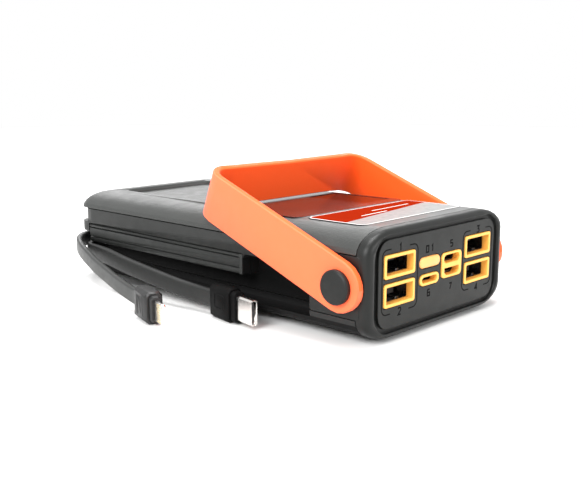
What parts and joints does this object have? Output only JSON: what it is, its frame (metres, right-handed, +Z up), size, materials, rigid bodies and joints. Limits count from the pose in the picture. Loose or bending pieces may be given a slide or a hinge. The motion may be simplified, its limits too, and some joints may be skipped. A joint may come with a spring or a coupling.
{
  "type": "power bank",
  "caption": "Flat power bank with a hinged carry strap, USB outputs, charge inputs, a power button and built-in flat cables that end in plugs.",
  "frame": {"origin": "middle of the body's footprint, on the surface it rests on", "axes": "-Y towards the port face, +Y along the body to its back, +Z up"},
  "size_m": [0.1067, 0.1461, 0.0486],
  "materials": {
    "shell_top": "fine grain, satin",
    "shell_side": "satin",
    "shell_bottom": "satin",
    "cap": "satin",
    "rail": "satin",
    "label": "printed, glossy",
    "gloss": "polished",
    "display": "dark tinted window",
    "strap": "matte silicone",
    "pivot": "matte",
    "screw_steel": "plated",
    "trim": "satin",
    "port_metal": "plated",
    "port_core": "matte",
    "button": "satin",
    "switch": "matte",
    "board": "solder resist",
    "coil": "matte",
    "can": "bright",
    "digits": "matte",
    "cell": "foil pouch",
    "foam": "foam",
    "lens": "milky",
    "lamp_board": "white coat",
    "gland": "matte",
    "cable_dark": "matte",
    "cable_pale": "satin",
    "plug": "satin",
    "plug_metal": "plated"
  },
  "bodies": {
    "body": {"board_capacitor": "can", "board_coil": "coil", "bottom_cover": "shell_bottom", "button_switch": "switch", "cable_gland": "gland", "cable_inner": "cable_dark", "cable_outer": "cable_pale", "case_screw_1": "screw_steel", "case_screw_2": "screw_steel", "case_screw_3": "screw_steel", "case_screw_4": "screw_steel", "cell_lower": "cell", "cell_middle": "cell", "cell_upper": "cell", "display_board": "board", "display_lens": "display", "display_module": "digits", "foam_pad_lower": "foam", "foam_pad_upper": "foam", "front_label": "label", "gloss_panel": "gloss", "lamp_board": "lamp_board", "lamp_lens": "lens", "main_board": "board", "micro_receptacle": "port_metal", "middle_frame": "shell_side", "phone_bezel": "trim", "phone_receptacle": "port_metal", "pivot_cap_left": "pivot", "pivot_cap_right": "pivot", "pivot_screw_left": "screw_steel", "pivot_screw_right": "screw_steel", "plug_collar_c": "plug", "plug_collar_l": "plug", "plug_core_c": "port_core", "plug_housing_c": "plug", "plug_housing_l": "plug", "plug_shell_c": "plug_metal", "plug_tongue_l": "plug_metal", "port_cap": "cap", "side_rail": "rail", "top_shell": "shell_top", "twin_bezel": "trim", "type_c_receptacle": "port_metal", "usb_bezel_1": "trim", "usb_bezel_2": "trim", "usb_bezel_3": "trim", "usb_bezel_4": "trim", "usb_receptacle_1": "port_metal", "usb_receptacle_2": "port_metal", "usb_receptacle_3": "port_metal", "usb_receptacle_4": "port_metal", "usb_tongue_1": "port_core", "usb_tongue_2": "port_core", "usb_tongue_3": "port_core", "usb_tongue_4": "port_core"},
    "strap": {"strap": "strap"},
    "button": {"power_button": "button"}
  },
  "joints": [
    {"name": "strap_hinge", "type": "hinge", "parent": "body", "child": "strap", "pos_m": [0, -0.06355, 0.0181], "axis": [1, 0, 0], "range_deg": [0, 160]},
    {"name": "power_button", "type": "slide", "parent": "body", "child": "button", "axis": [0, 1, 0], "range_m": [0, 0.0006], "stiffness_N_per_m": 300, "springref_m": -0.0004}
  ]
}
